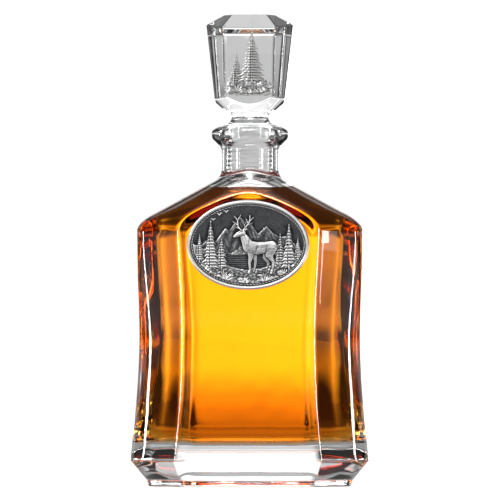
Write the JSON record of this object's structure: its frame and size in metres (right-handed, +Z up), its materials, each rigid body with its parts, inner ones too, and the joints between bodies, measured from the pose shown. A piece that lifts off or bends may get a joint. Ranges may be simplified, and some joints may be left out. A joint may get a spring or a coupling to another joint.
{
  "type": "figural liquor decanter",
  "caption": "Waisted clear glass spirit decanter with faceted corners, arched shoulder, oval relief plaque and a faceted lift-out stopper with a ribbed seal.",
  "frame": {"origin": "centre of the foot's rest face, on the floor", "axes": "+Z up along the neck and stopper, X across the wide front, the plaque's side faces -Y"},
  "size_m": [0.1224, 0.082, 0.2423],
  "materials": {
    "clear_glass": "clear polished soda-lime glass",
    "stopper_clear_glass": "clear polished solid glass",
    "pewter": "antiqued cast pewter, darkened in the recesses and buffed on the relief",
    "seal_plastic": "translucent white polyethylene",
    "adhesive": "clear grey bonding film"
  },
  "bodies": {
    "decanter": {"glass_body": "clear_glass", "medallion": "pewter", "medallion_adhesive": "adhesive"},
    "seal": {"stopper_seal": "seal_plastic"},
    "stopper": {"stopper_glass": "stopper_clear_glass", "stopper_emblem": "pewter", "emblem_adhesive": "adhesive"}
  },
  "joints": [
    {"name": "stopper_lift", "type": "slide", "parent": "decanter", "child": "seal", "axis": [0, 0, 1], "range_m": [0, 0.075]},
    {"name": "stopper_twist", "type": "hinge", "parent": "seal", "child": "stopper", "pos_m": [0, 0, 0.172], "axis": [0, 0, 1], "continuous": true}
  ]
}
